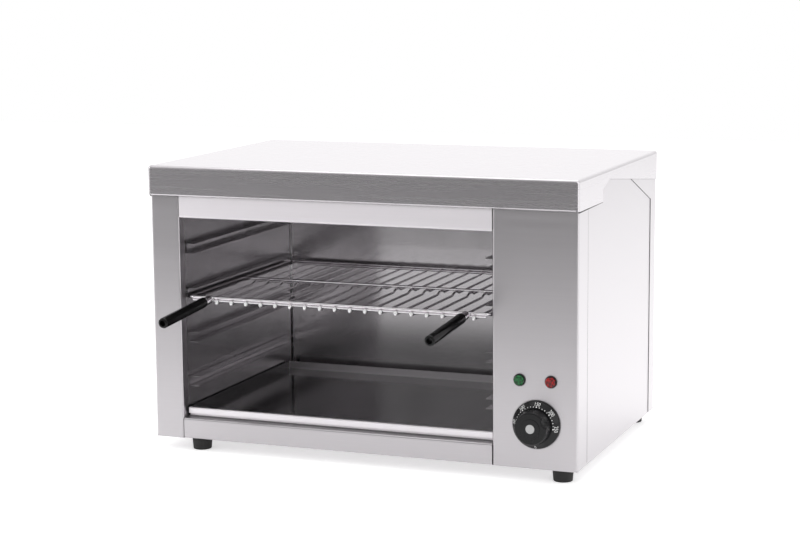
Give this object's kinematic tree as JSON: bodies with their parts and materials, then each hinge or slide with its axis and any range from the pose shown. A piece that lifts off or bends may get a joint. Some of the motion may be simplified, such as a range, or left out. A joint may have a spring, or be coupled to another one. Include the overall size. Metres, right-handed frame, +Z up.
{
  "type": "cheese melter",
  "caption": "Counter-top grill with an open front cavity, wire rack with long handles, drip tray, thermostat knob and pilot lamps.",
  "frame": {"origin": "middle of the footprint of the whole object, handles and cable gland included, on the counter surface", "axes": "+X to the right seen from the front, +Y from the open front to the back, +Z up"},
  "size_m": [0.603, 0.5312, 0.3905],
  "materials": {
    "housing_steel": "fine brushed stainless steel",
    "cavity_steel": "bright rolled stainless steel, slightly smoked",
    "tray_steel": "plain stainless steel",
    "rack_chrome": "bright chromed wire",
    "handle_plastic": "black phenolic, glossy",
    "knob_plastic": "black phenolic, satin",
    "knob_cap_metal": "spun disc",
    "green_lens": "translucent green acrylic",
    "red_lens": "translucent red acrylic",
    "bezel_plastic": "black",
    "fitting_plastic": "cream thermoset",
    "gland_plastic": "black nylon",
    "zinc_steel": "zinc-plated steel",
    "element_metal": "oxidised alloy sheath",
    "copper": "drawn copper",
    "brass": "turned brass",
    "foot_rubber": "black rubber"
  },
  "bodies": {
    "housing": {"back_panel": "housing_steel", "back_panel_screws": "zinc_steel", "base_pan": "housing_steel", "bulb_clips": "zinc_steel", "cable_gland": "gland_plastic", "capillary_tube": "copper", "cavity_back_wall": "cavity_steel", "cavity_ceiling": "cavity_steel", "cavity_floor": "cavity_steel", "cavity_left_wall": "cavity_steel", "cavity_right_wall": "cavity_steel", "control_panel": "housing_steel", "cover_screws": "zinc_steel", "element_bushings": "brass", "element_hanger": "cavity_steel", "element_terminal_pins": "zinc_steel", "foot_front_left": "foot_rubber", "foot_front_right": "foot_rubber", "foot_nuts": "zinc_steel", "foot_rear_left": "foot_rubber", "foot_rear_right": "foot_rubber", "foot_screws": "zinc_steel", "front_heating_element": "element_metal", "gland_nut": "gland_plastic", "green_lamp_lens": "green_lens", "lamp_bezels": "bezel_plastic", "lamp_bodies": "fitting_plastic", "lamp_nuts": "fitting_plastic", "left_rail_1": "cavity_steel", "left_rail_2": "cavity_steel", "left_rail_3": "cavity_steel", "left_rail_4": "cavity_steel", "left_side_panel": "housing_steel", "rear_heating_element": "element_metal", "red_lamp_lens": "red_lens", "right_rail_1": "cavity_steel", "right_rail_2": "cavity_steel", "right_rail_3": "cavity_steel", "right_rail_4": "cavity_steel", "right_side_panel": "housing_steel", "terminal_block": "fitting_plastic", "terminal_screws": "zinc_steel", "thermostat_body": "fitting_plastic", "thermostat_bulb": "element_metal", "thermostat_screws": "zinc_steel", "top_cover": "housing_steel", "upper_front_band": "housing_steel"},
    "rack": {"rack_frame": "rack_chrome", "rack_middle_wire": "rack_chrome", "rack_lower_wires": "rack_chrome", "rack_bars": "rack_chrome", "rack_handle_left": "handle_plastic", "rack_handle_right": "handle_plastic", "rack_handle_rods": "rack_chrome", "rack_handle_ferrules": "rack_chrome"},
    "tray": {"drip_tray": "tray_steel"},
    "thermostat_knob": {"knob": "knob_plastic", "knob_badge": "knob_cap_metal", "knob_cap": "knob_plastic", "thermostat_shaft": "zinc_steel"}
  },
  "joints": [
    {"name": "rack_slide", "type": "slide", "parent": "housing", "child": "rack", "axis": [0, -1, 0], "range_m": [0, 0.25]},
    {"name": "tray_slide", "type": "slide", "parent": "housing", "child": "tray", "axis": [0, -1, 0], "range_m": [0, 0.25]},
    {"name": "knob_turn", "type": "hinge", "parent": "housing", "child": "thermostat_knob", "pos_m": [0.2455, -0.13941, 0.0755], "axis": [0, 1, 0], "range_deg": [0, 270]}
  ]
}
